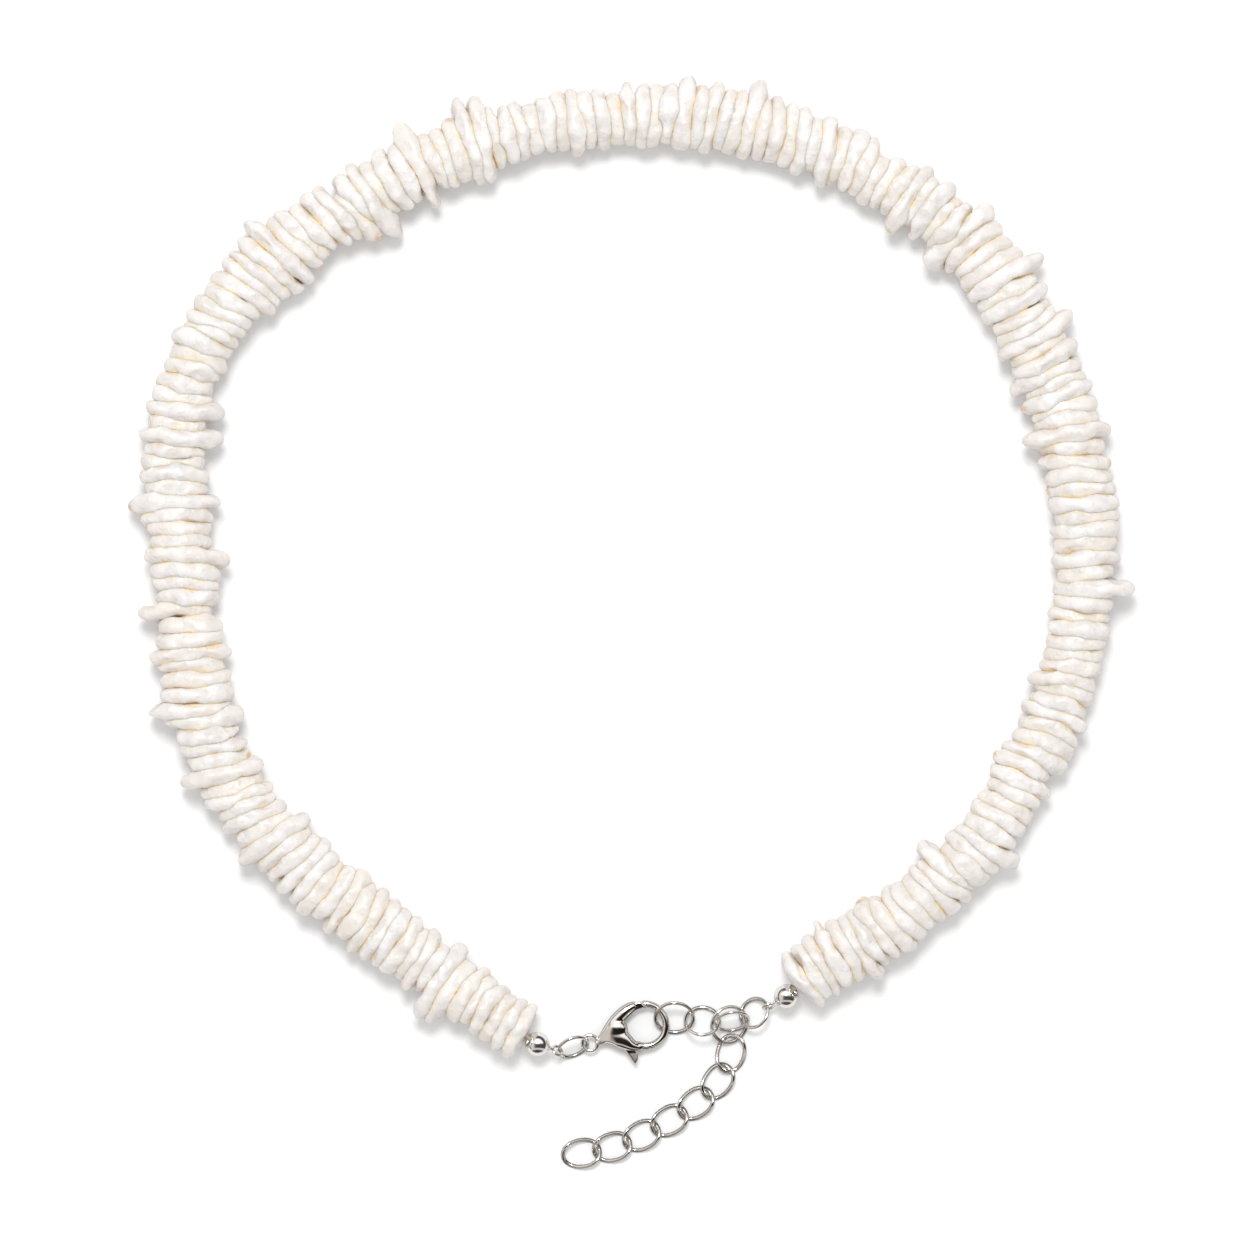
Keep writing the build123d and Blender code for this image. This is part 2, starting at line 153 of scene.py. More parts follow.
# %% Helper for materials
class Finish(Tree):
    """A material: the nodes in front of one Principled shader."""

    def __init__(self, name, **values):
        self.material = bpy.data.materials.new(name)
        self.material.use_nodes = True
        super().__init__(self.material.node_tree)
        self.shader = self.tree.nodes["Principled BSDF"]
        for socket, value in values.items():
            self.shader.inputs[socket.replace("_", " ")].default_value = value

    def place(self):
        """Where a point lies on the object."""
        return self.node("ShaderNodeTexCoord").outputs["Object"]

    def noise(self, size_mm, detail=2.0, w=0.0):
        inputs = {"Vector": self.place(), "W": w, "Scale": 1000 / size_mm, "Detail": detail}
        return self.node("ShaderNodeTexNoise", inputs, noise_dimensions="4D").outputs["Fac"]

    def attribute(self, name):
        return self.node("ShaderNodeAttribute", attribute_name=name).outputs["Fac"]

    def link(self, value, socket):
        self.tree.links.new(value, self.shader.inputs[socket])

    def relief(self, height, strength, depth_mm):
        """Roughens the light on the surface without moving it."""
        inputs = {"Height": height, "Strength": strength, "Distance": depth_mm * MM}
        self.link(self.node("ShaderNodeBump", inputs).outputs["Normal"], "Normal")

    def cover(self, node_name):
        """Gives this finish to a CAD node that stays as it is."""
        for slot in nodes[node_name].material_slots:
            slot.material = self.material
        print(self.material.name, "on", node_name)


# %% [markdown]
# ## White surface
# White board scatters light and lifts the undersides of the chips. Polished silver would mirror all of
# that white and lose its form, while in a photograph it mirrors the shaded board close round itself.
# So the board is dark to mirrored rays that meet it within a few millimetres, a little grey to longer
# ones, and white to all other light.

# %% White board
BOARD = (0.9, 0.9, 0.9)
SHADED_BOARD = (0.035, 0.026, 0.02)
MIRRORED_BOARD = (0.72, 0.7, 0.68)
SHADED_WITHIN = 1.4 * MM
CLEAR_BEYOND = 4.0 * MM

board = Finish("white_surface", Roughness=0.9)
ray = board.node("ShaderNodeLightPath")
away = board.spread(ray.outputs["Ray Length"], SHADED_WITHIN, CLEAR_BEYOND)
mirrored = board.mix(away, SHADED_BOARD, MIRRORED_BOARD)
board.link(board.mix(ray.outputs["Is Glossy Ray"], BOARD, mirrored), "Base Color")
floor_mesh.materials.append(board.material)
print("white board:", len(board.tree.nodes), "nodes")

# %% [markdown]
# ## Shell
# Puka chips are tumbled white shell. Light goes a little way into them and comes out warm, and a thin
# polish lies on top. One plain ivory would look like plastic, so cloudy patches run through it. Where
# two chips press together a painted gold stands in for warm light bouncing between them, the ends are
# painted a little darker as shade where thin shell lets light through, and a few tips keep some brown
# skin. The places of the painted gold, the painted shade of the ends and the tips come with the mesh,
# as attributes.

# %% Shell
IVORY_DEEP, IVORY_PALE = (0.72, 0.684, 0.66), (0.805, 0.783, 0.77)
CREAM = (0.76, 0.695, 0.63)
PAINTED_END_SHADE = (0.69, 0.63, 0.585)
PAINTED_SEAM_GOLD = (0.92, 0.74, 0.44)
BROWN_SKIN = (0.62, 0.47, 0.31)
CLOUD_SIZE = 2.6
PAINTED_SEAM_POWER = 2.2

shell = Finish(
    "shell", Roughness=0.34, Specular_IOR_Level=0.4, Coat_Weight=0.3, Coat_Roughness=0.14,
    Subsurface_Weight=0.5, Subsurface_Scale=0.7 * MM, Subsurface_Radius=(1.0, 0.85, 0.7),
)
clouds = shell.spread(shell.noise(CLOUD_SIZE), 0.35, 0.65)
ivory = shell.mix(clouds, IVORY_DEEP, IVORY_PALE)
ivory = shell.mix(shell.math("MULTIPLY", shell.attribute("tone"), 0.5), ivory, CREAM)
# Painted shade: the ends of each chip are darker, for light passing through the thin shell there.
ivory = shell.mix(shell.math("MULTIPLY", shell.attribute("ends"), 0.6), ivory, PAINTED_END_SHADE)
# Painted light: warm gold where chips touch, standing in for light bouncing in the seams.
ivory = shell.mix(shell.math("POWER", shell.attribute("seam"), PAINTED_SEAM_POWER), ivory, PAINTED_SEAM_GOLD)
skin_left = shell.math("MULTIPLY", shell.attribute("tip"), shell.spread(shell.noise(0.9), 0.42, 0.5))
shell.link(shell.mix(skin_left, ivory, BROWN_SKIN), "Base Color")
print("shell:", len(shell.tree.nodes), "nodes")

# %% Fine pearls in the shell's surface
PEARL_HEIGHT = 0.75

dapples = shell.noise(1.2, 1.5)
pearls = shell.math("MULTIPLY", shell.spread(shell.noise(0.55, 0, w=3.0), 0.5, 0.75), PEARL_HEIGHT)
shell.relief(shell.math("ADD", dapples, pearls), 0.35, 0.3)

# %% [markdown]
# ## Thread
# The thread is twisted nylon, and it shows only beside the bead tips. Its solid in the CAD model has
# the right shape, so it stays, with a finish of slanting bands for the strands.

# %% Thread
STRANDS = 600.0
THREAD_DARK, THREAD_PALE = (0.5, 0.4, 0.25), (0.74, 0.65, 0.47)

cord = Finish("thread", Roughness=0.8)
bands = {"Vector": cord.place(), "Scale": STRANDS, "Distortion": 1.5, "Detail": 2.0}
strands = cord.node("ShaderNodeTexWave", bands, bands_direction="DIAGONAL").outputs["Fac"]
cord.link(cord.mix(strands, THREAD_DARK, THREAD_PALE), "Base Color")
cord.relief(strands, 0.6, 0.1)
cord.cover("thread")

# %% [markdown]
# ## Silver
# The wire and the casting are polished silver plate. A perfect mirror would look drawn, so faint smears
# change the colour and the polish, and tiny dents shake the light. The bead tips are stamped from sheet
# and only tumbled, so they are paler and softer. The rivet's CAD solid stays and takes the polish.

# %% Polished silver
SILVER_PALE, SILVER_WARM = (0.88, 0.855, 0.825), (0.8, 0.77, 0.735)

silver = Finish("silver", Metallic=1.0)
smears = silver.noise(0.9, 3)
silver.link(silver.mix(smears, SILVER_PALE, SILVER_WARM), "Base Color")
silver.link(silver.spread(smears, 0.3, 0.7, 0.05, 0.14), "Roughness")
silver.relief(silver.noise(0.5, 2, w=2.0), 0.03, 0.08)
silver.cover("clasp_rivet")

# %% Softer silver of the stamped bead tips
STAMPED_PALE, STAMPED_WARM = (0.95, 0.94, 0.93), (0.9, 0.885, 0.87)

satin = Finish("stamped_silver", Metallic=0.95)
haze = satin.noise(0.8, 2)
satin.link(satin.mix(haze, STAMPED_PALE, STAMPED_WARM), "Base Color")
satin.link(satin.spread(haze, 0.3, 0.7, 0.09, 0.16), "Roughness")
print("silver:", len(silver.tree.nodes), "nodes, stamped silver:", len(satin.tree.nodes), "nodes")

# %% [markdown]
# ## Room
# Silver shows the room, not itself. A photographer puts white cards round it with dark gaps between
# them, and the gaps draw its form. So the room is an even white for scattered light, and for mirrored
# light it is dark, with a card over the top edge, a weaker one at the left and a strip low down.

# %% White room with dark gaps for what is polished
WHITE_ROOM = 0.82
GAP_GLOW, CARD_GLOW = 0.01, 1.05
LEFT_CARD, LOW_STRIP = 0.6, 0.55
WARM_GAP, WHITE = (1.0, 0.84, 0.7), (1.0, 1.0, 1.0)

world = bpy.data.worlds.new("room")
bpy.context.scene.world = world
world.use_nodes = True
room = Tree(world.node_tree)
looking = room.node("ShaderNodeTexCoord").outputs["Generated"]
x_way, y_way, z_way = room.node("ShaderNodeSeparateXYZ", {0: looking}).outputs
top = room.math("MULTIPLY", room.spread(y_way, -0.08, 0.3), room.spread(z_way, 0.45, 0.62))
left = room.math("MULTIPLY", room.spread(x_way, -0.15, -0.7), room.spread(z_way, 0.2, 0.35))
low = room.math("MULTIPLY", room.spread(y_way, -0.5, -0.6), room.spread(y_way, -0.85, -0.75))
cards = room.math("MAXIMUM", top, room.math("MULTIPLY", left, LEFT_CARD))
cards = room.math("MAXIMUM", cards, room.math("MULTIPLY", low, LOW_STRIP))

# %% Light of the room
in_gloss = room.node("ShaderNodeLightPath").outputs["Is Glossy Ray"]
glow = room.spread(cards, 0.0, 1.0, GAP_GLOW, CARD_GLOW)
strength = room.node("ShaderNodeMix", {0: in_gloss, 2: WHITE_ROOM, 3: glow}, data_type="FLOAT").outputs[0]
whiteness = room.math("MAXIMUM", cards, room.math("SUBTRACT", 1.0, in_gloss))
background = room.tree.nodes["Background"]
room.tree.links.new(strength, background.inputs["Strength"])
room.tree.links.new(room.mix(whiteness, WARM_GAP, WHITE), background.inputs["Color"])
print("room:", len(room.tree.nodes), "nodes")

# %% [markdown]
# ## Reading the chips
# Each chip is a slice of shell, tumbled smooth and drilled. The CAD model holds each one as a faceted
# lens, all of them in one node. The lumpy chips below have to lie exactly where those lie, so every
# lens is read back from its mesh: its hole gives the middle, its two flats the axis, and its rim the
# outline. Reading them is safer than repeating the numbers, because the places can't drift apart.

# %% Loose solids of a mesh
SAME_PLACE = 1e-6


def points_of(mesh):
    return np.array([v.co for v in mesh.vertices])


def islands(mesh):
    """Corners, and faces as (normal, area, corners), of each loose solid of a mesh, in mm."""
    shape = bmesh.new()
    shape.from_mesh(mesh)
    bmesh.ops.remove_doubles(shape, verts=shape.verts, dist=SAME_PLACE)
    seen = set()
    for first in shape.verts:
        if first in seen:
            continue
        seen.add(first)
        stack, corners, faces = [first], [], {}
        while stack:
            corner = stack.pop()
            corners.append(corner)
            faces.update(dict.fromkeys(corner.link_faces))
            for edge in corner.link_edges:
                other = edge.other_vert(corner)
                if other not in seen:
                    seen.add(other)
                    stack.append(other)
        sides = [
            (np.array(face.normal), face.calc_area() / MM**2, np.array([v.co for v in face.verts]) / MM)
            for face in faces
        ]
        yield np.array([v.co for v in corners]) / MM, sides
    shape.free()


# %% Middle, axis and rim of one chip
RIM_BAND = 0.35
HOLE_SLOPE = 0.3


def read_chip(corners, faces):
    """Middle of the hole, axis of the hole, half thickness, and rim corners of one chip."""
    flats = {}
    for normal, area, _ in faces:
        upward = normal if normal[np.argmax(abs(normal))] > 0 else -normal
        key = tuple(np.round(upward, 2))
        total, most, at = flats.get(key, (0, 0, tuple(normal)))
        flats[key] = (total + area, *max((most, at), (area, tuple(normal))))
    axis = np.array(max(flats.values())[2])
    hole = [points for normal, _, points in faces if abs(normal @ axis) < HOLE_SLOPE]
    middle = np.concatenate(hole).mean(axis=0)
    depth = (corners - middle) @ axis
    return middle, axis, abs(depth).max(), corners[abs(depth) < RIM_BAND]


found = [read_chip(corners, faces) for corners, faces in islands(nodes["shell_chips"].data)]
print("chips read:", len(found))

# %% Chips in their order along the thread
here = np.array(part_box("bead_tip_left")).mean(axis=0) / MM
order, rest = [], list(range(len(found)))
while rest:
    nearest = min(rest, key=lambda k: np.linalg.norm(found[k][0] - here))
    rest.remove(nearest)
    order.append(nearest)
    here = found[nearest][0]
middles = np.array([found[k][0] for k in order])
halves = np.array([found[k][2] for k in order])
forwards = np.array([found[k][1] for k in order])
ahead = np.gradient(middles, axis=0)
forwards *= np.sign((forwards * ahead).sum(axis=1))[:, None]
spacing = np.linalg.norm(np.diff(middles, axis=0), axis=1).mean()
print("spacing of the chips, mm:", spacing.round(2))


# %% Each chip's own directions
def frame_of(forwards):
    """Up and out directions for each forward direction."""
    ups = np.array([0, 0, 1.0]) - forwards[:, 2:] * forwards
    ups /= np.linalg.norm(ups, axis=1)[:, None]
    return ups, np.cross(ups, forwards)


ups, outs = frame_of(forwards)
count = len(middles)
print("steepest chip, degrees:", np.degrees(np.arcsin(abs(forwards[:, 2]).max())).round(1))

# %% [markdown]
# ## Outlines
# The rim of a CAD lens is a coarse polygon. A tumbled chip has no corners, so the rim is turned into a
# radius for each degree round the hole and smoothed with a bell curve that runs round the circle.

# %% Outline of each chip as a smooth radius all round
CIRCLE_STEPS = 360
SMOOTH_OVER = 11
SMOOTH_REACH = 40
CIRCLE = np.linspace(0, 2 * np.pi, CIRCLE_STEPS, endpoint=False)


def round_outline(points, middle, out, up):
    x, y = (points - middle) @ out, (points - middle) @ up
    turn = np.arctan2(y, x) % (2 * np.pi)
    rows = np.argsort(turn)
    radius = np.interp(CIRCLE, turn[rows], np.hypot(x, y)[rows], period=2 * np.pi)
    window = np.exp(-0.5 * (np.arange(-SMOOTH_REACH, SMOOTH_REACH + 1) / SMOOTH_OVER) ** 2)
    return np.convolve(np.tile(radius, 3), window / window.sum(), "same")[CIRCLE_STEPS : 2 * CIRCLE_STEPS]


outlines = np.array([
    round_outline(found[k][3], middles[i], outs[i], ups[i]) for i, k in enumerate(order)
])
print("reach, mm:", outlines.min().round(2), "to", outlines.max().round(2))

# %% [markdown]
# ## Each chip its own
# No two chips are alike: each leans and turns on the thread, one is thin and the next thick, and some
# have a ledge near the rim. Random numbers with a fixed seed give these, so that each run gives
# the same necklace. Chips lean in company, so part of each lean is shared with the chips beside it.

# %% Random numbers along the string
SHARED_OVER = 3
SHARED_REACH = 9
SEED = 11

chance = np.random.default_rng(SEED)


def along_string(own, shared):
    """A random number for each chip, partly its own and partly shared with the chips around it."""
    window = np.exp(-0.5 * (np.arange(-SHARED_REACH, SHARED_REACH + 1) / SHARED_OVER) ** 2)
    drift = np.convolve(chance.normal(0, 1, count), window / np.sqrt((window**2).sum()), "same")
    return own * chance.normal(0, 1, count) + shared * drift


def turned(ahead, side, degrees):
    """Two directions, both turned in their own plane."""
    cos, sin = np.cos(np.radians(degrees))[:, None], np.sin(np.radians(degrees))[:, None]
    return ahead * cos + side * sin, side * cos - ahead * sin


# %% Lean and thickness; the first and last chips sit straight against the bead tips
CALM_CHIPS = 4
YAW, SHARED_YAW = 3.2, 4.0
LEAN, SHARED_LEAN = 2.6, 5.0
THICKER, THICKNESS_SPREAD = 1.24, 0.15
THINNEST, THICKEST = 0.85, 1.36
FULLEST_END, FULLER_BETWEEN = 1.06, 0.3

calm = np.clip(np.minimum(np.arange(count), np.arange(count)[::-1]) / CALM_CHIPS, 0, 1)
forwards, outs = turned(forwards, outs, calm * along_string(YAW, SHARED_YAW))
forwards, ups = turned(forwards, ups, calm * along_string(LEAN, SHARED_LEAN))
thickness = np.clip(halves * (THICKER + along_string(THICKNESS_SPREAD, 0.0)), THINNEST, THICKEST)
fullest = FULLEST_END + FULLER_BETWEEN * calm
print("half thickness, mm:", thickness.min().round(2), "to", thickness.max().round(2))

# %% Ledges, blunt edges, bends and uneven ends
ledge_at = chance.uniform(0.76, 0.9, count)
ledge_deep = chance.uniform(0.15, 0.42, count) * (chance.uniform(0, 1, count) < 0.6)
ledge_shift = chance.uniform(0.05, 0.3, count) * chance.choice([-1, 1], count)
ledge_turn = chance.uniform(0, 2 * np.pi, count)
low_top = chance.uniform(0.0, 0.13, count)
blunt_top = chance.uniform(4.5, 7.0, count)
blunt_side = chance.uniform(3.0, 4.6, count)
club = along_string(0.14, 0.0)
bend_rate = chance.uniform(0.35, 0.7, (3, count)) * np.array([[1.0], [1.7], [0.4]])
bend_at = chance.uniform(0, 2 * np.pi, (3, count))
bend_size = np.array([[0.22], [0.09], [0.2]]) * chance.uniform(0.4, 1.2, (3, count))
longer = chance.uniform(-0.1, 0.06, (2, count, 1))
print("chips with a ledge:", int((ledge_deep > 0).sum()))

# %% Final rims
RIM_INSET = 0.985

drop = 1 - low_top[:, None] * np.clip(np.sin(CIRCLE), 0, 1) ** 2
outer, inner = np.clip(np.cos(CIRCLE), 0, 1) ** 2, np.clip(-np.cos(CIRCLE), 0, 1) ** 2
rims = RIM_INSET * outlines * drop * (1 + longer[0] * outer + longer[1] * inner)
print("rims, mm:", rims.min().round(2), "to", rims.max().round(2))

# %% [markdown]
# ## The form of a chip
# A chip is described by a rule, not by points: at each place of its flat frame, how far its middle
# surface is bent forward, and how thick it is there. The same rule tells how far any other point is
# from the chip, and that finds where two neighbours touch.

# %% Bend and thickness at any place
EDGE_ROUND = 0.42
RIPPLE = 0.1
LEDGE_SOFT = 0.06


def rim_towards(which, x, y):
    """Radius of a chip's rim in the direction of a place."""
    turn = np.arctan2(y, x) / (2 * np.pi) * CIRCLE_STEPS % CIRCLE_STEPS
    low = np.floor(turn).astype(int) % CIRCLE_STEPS
    part = turn - np.floor(turn)
    return rims[which, low] * (1 - part) + rims[which, (low + 1) % CIRCLE_STEPS] * part


def slab(which, x, y):
    """Depth of the middle of a chip, half its thickness, and how far out in its outline a place is."""
    rim, way_out = rim_towards(which, x, y), np.hypot(x, y)
    share = way_out / rim
    bend = sum(
        bend_size[k][which] * np.sin(bend_rate[k][which] * along + bend_at[k][which])
        for k, along in enumerate((x, x, y))
    )
    wide = 1 + club[which] * x / rim + RIPPLE * np.sin(1.1 * x + 0.5 * y + bend_at[1][which])
    sideways = (x / np.maximum(way_out, 1e-6)) ** 2
    blunt = blunt_top[which] + (blunt_side - blunt_top)[which] * sideways
    half = thickness[which] * wide * np.clip(1 - share**blunt, 0, 1) ** EDGE_ROUND
    ledge = np.clip((share - ledge_at[which]) / LEDGE_SOFT, 0, 1)
    ledge = ledge * np.clip(0.5 + np.sin(0.7 * x + ledge_turn[which]), 0, 1)
    ledge = ledge * np.clip(3 * y / way_out - 1, 0, 1)
    bend += ledge_shift[which] * (ledge_deep[which] > 0) * ledge
    return bend, half * (1 - ledge_deep[which] * ledge), share


# %% Places on all the chips at once: round the hole, and from the hole to the rim and back
TURNS = 60
UPPER_TURNS = 48
PAST_SIDE = 0.35
STEPS = 10
HOLE = 0.8
CUT_BELOW = 0.02

low_side = math.pi + PAST_SIDE
turns = np.concatenate([
    np.linspace(-PAST_SIDE, low_side, UPPER_TURNS, endpoint=False),
    np.linspace(low_side, 2 * math.pi - PAST_SIDE, TURNS - UPPER_TURNS, endpoint=False),
])
rise = np.sin(np.linspace(0, math.pi / 2, STEPS + 1))
shares = np.concatenate([rise, rise[-2::-1]])
fronts = np.concatenate([np.ones(STEPS + 1), -np.ones(STEPS)])
chip = np.broadcast_to(np.arange(count)[:, None, None], (count, TURNS, len(shares)))

rim = np.array([np.interp(turns % (2 * math.pi), CIRCLE, row, period=2 * math.pi) for row in rims])
reach = HOLE + (rim[:, :, None] - HOLE) * shares
x = reach * np.cos(turns)[None, :, None]
y = reach * np.sin(turns)[None, :, None]
y = np.maximum(y, -middles[:, 2][:, None, None] / ups[:, 2][:, None, None] + CUT_BELOW)
print("places on the chips:", x.shape)

# %% Skin of the chips, and the gap from it to another chip
LIES_AT = 0.01
NO_NEIGHBOUR = 9.0


def skin_places():
    bend, half, _ = slab(chip, x, y)
    half[:, :, STEPS] = 0
    depth = (bend + fronts * half)[..., None]
    made = middles[chip] + x[..., None] * outs[chip] + y[..., None] * ups[chip] + depth * forwards[chip]
    made[..., 2] = np.maximum(made[..., 2], LIES_AT)
    return made


def gap_to(step):
    """Free way from each place to the chip that many steps along, and how deep it lies in its outline."""
    other = np.clip(chip + step, 0, count - 1)
    off = places - middles[other]
    ox, oy, oz = ((off * way[other]).sum(-1) for way in (outs, ups, forwards))
    bend, half, share = slab(other, ox, oy)
    return np.where(other == chip, NO_NEIGHBOUR, abs(oz - bend) - half), share


# %% [markdown]
# ## Pressed together
# When the string was closed the chips were pressed against each other, and hardly a gap is left. The
# loose lenses of the frame keep free of one another. So in a few rounds each chip swells where a gap to
# the next one is still open, up to a limit, and both turn a little to face each other. A physics
# simulation could press them too, but it would be slow and would move them off their places.

# %% Chips swell and turn to each other where a gap between them is still open
SWELLS = 4
SWELL_BY = 0.3
TURN_BY, TURN_FULLY_AT = 0.3, 0.5
INSIDE_OUTLINE, NEAR_MIDDLE, ABOVE_THREAD = 0.86, 0.7, 1
WIDE_GAP, LAST_SWELL = 0.8, 0.25

seen_side = (fronts > 0) & (abs(x) < NEAR_MIDDLE * rim[:, :, None]) & (y > ABOVE_THREAD)
for _ in range(SWELLS):
    places = skin_places()
    gap, share = gap_to(1)
    beside = seen_side & (share < INSIDE_OUTLINE) & (gap < NO_NEIGHBOUR)
    widest = np.where(beside, gap, 0).max(axis=(1, 2)).clip(0, 1)
    thickness += SWELL_BY * widest
    thickness[1:] += SWELL_BY * widest[:-1]
    thickness = np.minimum(thickness, fullest)
    share_of_turn = np.clip(widest[:-1, None] / TURN_FULLY_AT, 0, 1)
    facing = TURN_BY * share_of_turn * (forwards[1:] - forwards[:-1])
    forwards[:-1] += facing
    forwards[1:] -= facing
    forwards /= np.linalg.norm(forwards, axis=1)[:, None]
    ups, outs = frame_of(forwards)
    print("widest gap left, mm:", widest.max().round(2))
thickness += np.where(widest > WIDE_GAP, LAST_SWELL, 0)
places = skin_places()
print("thickness, mm:", (2 * thickness).min().round(2), "to", (2 * thickness).max().round(2))

# %% [markdown]
# ## Seams, tones and tips
# The gold in the photograph lies in the seams between chips. It could be painted by hand, but the rule
# of the form already tells how near each place is to the neighbour on either side. The result is kept
# on the mesh as attributes, which the shell finish reads.

# %% How near each place is to its neighbours
# The gold in the seams is painted light: a warm colour for light that bounces between pressed chips, and, at
# part strength, for the shade deep under a neighbour's outline. The seam mask also holds back the lumps.
SEAM_WIDE, SEAM_TO, SEAM_SOFT = 0.3, 1.07, 0.05
DEEP_WIDE, DEEP_TO, DEEP_SOFT = 1.1, 0.95, 0.08
DEEP_SHARE = 0.6


def near(step):
    """1 where a place lies against the chip that many steps along the string, 0 in the open."""
    gap, share = gap_to(step)
    close = np.clip(1 - gap / SEAM_WIDE, 0, 1) * np.clip((SEAM_TO - share) / SEAM_SOFT, 0, 1)
    deep = DEEP_SHARE * np.clip(1 - gap / DEEP_WIDE, 0, 1) * np.clip((DEEP_TO - share) / DEEP_SOFT, 0, 1)
    return np.where(gap < NO_NEIGHBOUR, np.maximum(close, deep), 0)


seam = np.maximum(near(1), near(-1))
print("share of the skin in a seam:", (seam > 0.5).mean().round(2))

# %% Tone of each chip, brown tips and painted shade at the ends
BROWN_CHIPS = 0.12
TIP_FROM, TIP_SOFT = 0.93, 0.05
END_FROM, END_SOFT = 0.62, 0.38

each = (count, 1, 1)
out_share = x / rim[:, :, None]
tone = np.broadcast_to(chance.uniform(0, 1, each) ** 2, x.shape)
has_brown = chance.uniform(0, 1, each) < BROWN_CHIPS
brown_side = chance.choice([-1, 1], each)
tip = np.clip((x * brown_side / rim[:, :, None] - TIP_FROM) / TIP_SOFT, 0, 1) * has_brown
# Painted shade at the ends, where thin shell lets light through; its strength differs from chip to chip.
ends = np.clip((abs(out_share) - END_FROM) / END_SOFT, 0, 1) * chance.uniform(0.2, 1, each)
print("chips with a brown tip:", int(has_brown.sum()))

# %% [markdown]
# ## Lumpy skin
# Shell isn't even: broad lumps run through it, with small pearls on top. Sculpting 190 chips would take
# days. Geometry Nodes can push a whole quarter of the string in and out along its normals by a noise,
# and the seam attribute holds the push back where chips touch, so that no chip bursts into the next.

# %% Helpers for Geometry Nodes
def geometry_tree(name, **sizes):
    """A new tree with named inputs for its sizes and its material, and the sockets of its inputs."""
    group = bpy.data.node_groups.new(name, "GeometryNodeTree")
    face = group.interface
    face.new_socket("Geometry", in_out="INPUT", socket_type="NodeSocketGeometry")
    for key, value in sizes.items():
        kind = "NodeSocketInt" if isinstance(value, int) else "NodeSocketFloat"
        face.new_socket(key.replace("_", " "), in_out="INPUT", socket_type=kind).default_value = value
    face.new_socket("Material", in_out="INPUT", socket_type="NodeSocketMaterial")
    face.new_socket("Geometry", in_out="OUTPUT", socket_type="NodeSocketGeometry")
    tree = Tree(group)
    return tree, tree.node("NodeGroupInput").outputs


def end_tree(tree, given, geometry):
    """Shades the result smooth, makes it real geometry and gives it its material."""
    smooth = tree.node("GeometryNodeSetShadeSmooth", {"Geometry": geometry}).outputs[0]
    real = tree.node("GeometryNodeRealizeInstances", {0: smooth}).outputs[0]
    coated = tree.node("GeometryNodeSetMaterial", {"Geometry": real, "Material": given["Material"]})
    tree.node("NodeGroupOutput", {0: coated.outputs[0]})
    print("tree", tree.tree.name, "has", len(tree.tree.nodes), "nodes")
    return tree.tree


# %% Tree for the skin of the chips
PEARL_DOME = 2.2
PATCH_SCALE = 300.0
PATCH_FROM, PATCH_STEEP = 0.46, 8.0
HELD_BACK = 0.6


def skin_tree():
    """Pushes a surface in and out along its normals: broad lumps and small pearls."""
    tree, given = geometry_tree("shell_skin", Lump_Size=2.0, Lump_Depth=0.6, Pearl_Size=1.1, Pearl_Depth=0.16)
    place = tree.node("GeometryNodeInputPosition").outputs[0]
    lump_scale = tree.math("DIVIDE", 1000.0, given["Lump Size"])
    lumps = tree.node("ShaderNodeTexNoise", {"Vector": place, "Scale": lump_scale, "Detail": 0.6})
    broad = tree.math("MULTIPLY", tree.math("SUBTRACT", lumps.outputs["Fac"], 0.5), given["Lump Depth"])

    pearl_scale = tree.math("DIVIDE", 1000.0, given["Pearl Size"])
    pearls = tree.node("ShaderNodeTexVoronoi", {"Vector": place, "Scale": pearl_scale}, feature="SMOOTH_F1")
    fall = tree.math("MULTIPLY", pearls.outputs["Distance"], PEARL_DOME)
    dome = tree.math("MAXIMUM", tree.math("SUBTRACT", 1.0, fall), 0.0)
    patches = tree.node("ShaderNodeTexNoise", {"Vector": place, "Scale": PATCH_SCALE})
    edge = tree.math("MULTIPLY", tree.math("SUBTRACT", patches.outputs["Fac"], PATCH_FROM), PATCH_STEEP)
    where = tree.math("MINIMUM", tree.math("MAXIMUM", edge, 0.0), 1.0)
    small = tree.math("MULTIPLY", tree.math("MULTIPLY", dome, where), given["Pearl Depth"])

    push = tree.math("MULTIPLY", tree.math("ADD", tree.math("MULTIPLY", broad, 2.0), small), MM)
    touching = tree.node("GeometryNodeInputNamedAttribute", {"Name": "seam"}).outputs["Attribute"]
    free = tree.math("SUBTRACT", 1.0, tree.math("MULTIPLY", touching, HELD_BACK))
    normal = tree.node("GeometryNodeInputNormal").outputs[0]
    offset = tree.node(
        "ShaderNodeVectorMath", {0: normal, "Scale": tree.math("MULTIPLY", push, free)}, operation="SCALE"
    ).outputs[0]
    moved = tree.node("GeometryNodeSetPosition", {"Geometry": given["Geometry"], "Offset": offset})
    return end_tree(tree, given, moved.outputs[0])


shell_skin = skin_tree()


# %% Bake a tree into a plain mesh
def baked(name, mesh_or_curve, tree, **inputs):
    """Object with the result of a node tree as a plain mesh."""
    work = bpy.data.objects.new(name + "_work", mesh_or_curve)
    bpy.context.collection.objects.link(work)
    modifier = work.modifiers.new("nodes", "NODES")
    modifier.node_group = tree
    for socket in tree.interface.items_tree:
        key = socket.name.replace(" ", "_")
        if socket.in_out == "INPUT" and key in inputs:
            modifier[socket.identifier] = inputs[key]
    ready = work.evaluated_get(bpy.context.evaluated_depsgraph_get())
    mesh = bpy.data.meshes.new_from_object(ready)
    mesh.name = name
    bpy.data.objects.remove(work)
    made = bpy.data.objects.new(name, mesh)
    bpy.context.collection.objects.link(made)
    return made


def move_points(mesh, points):
    mesh.vertices.foreach_set("co", points.reshape(-1))


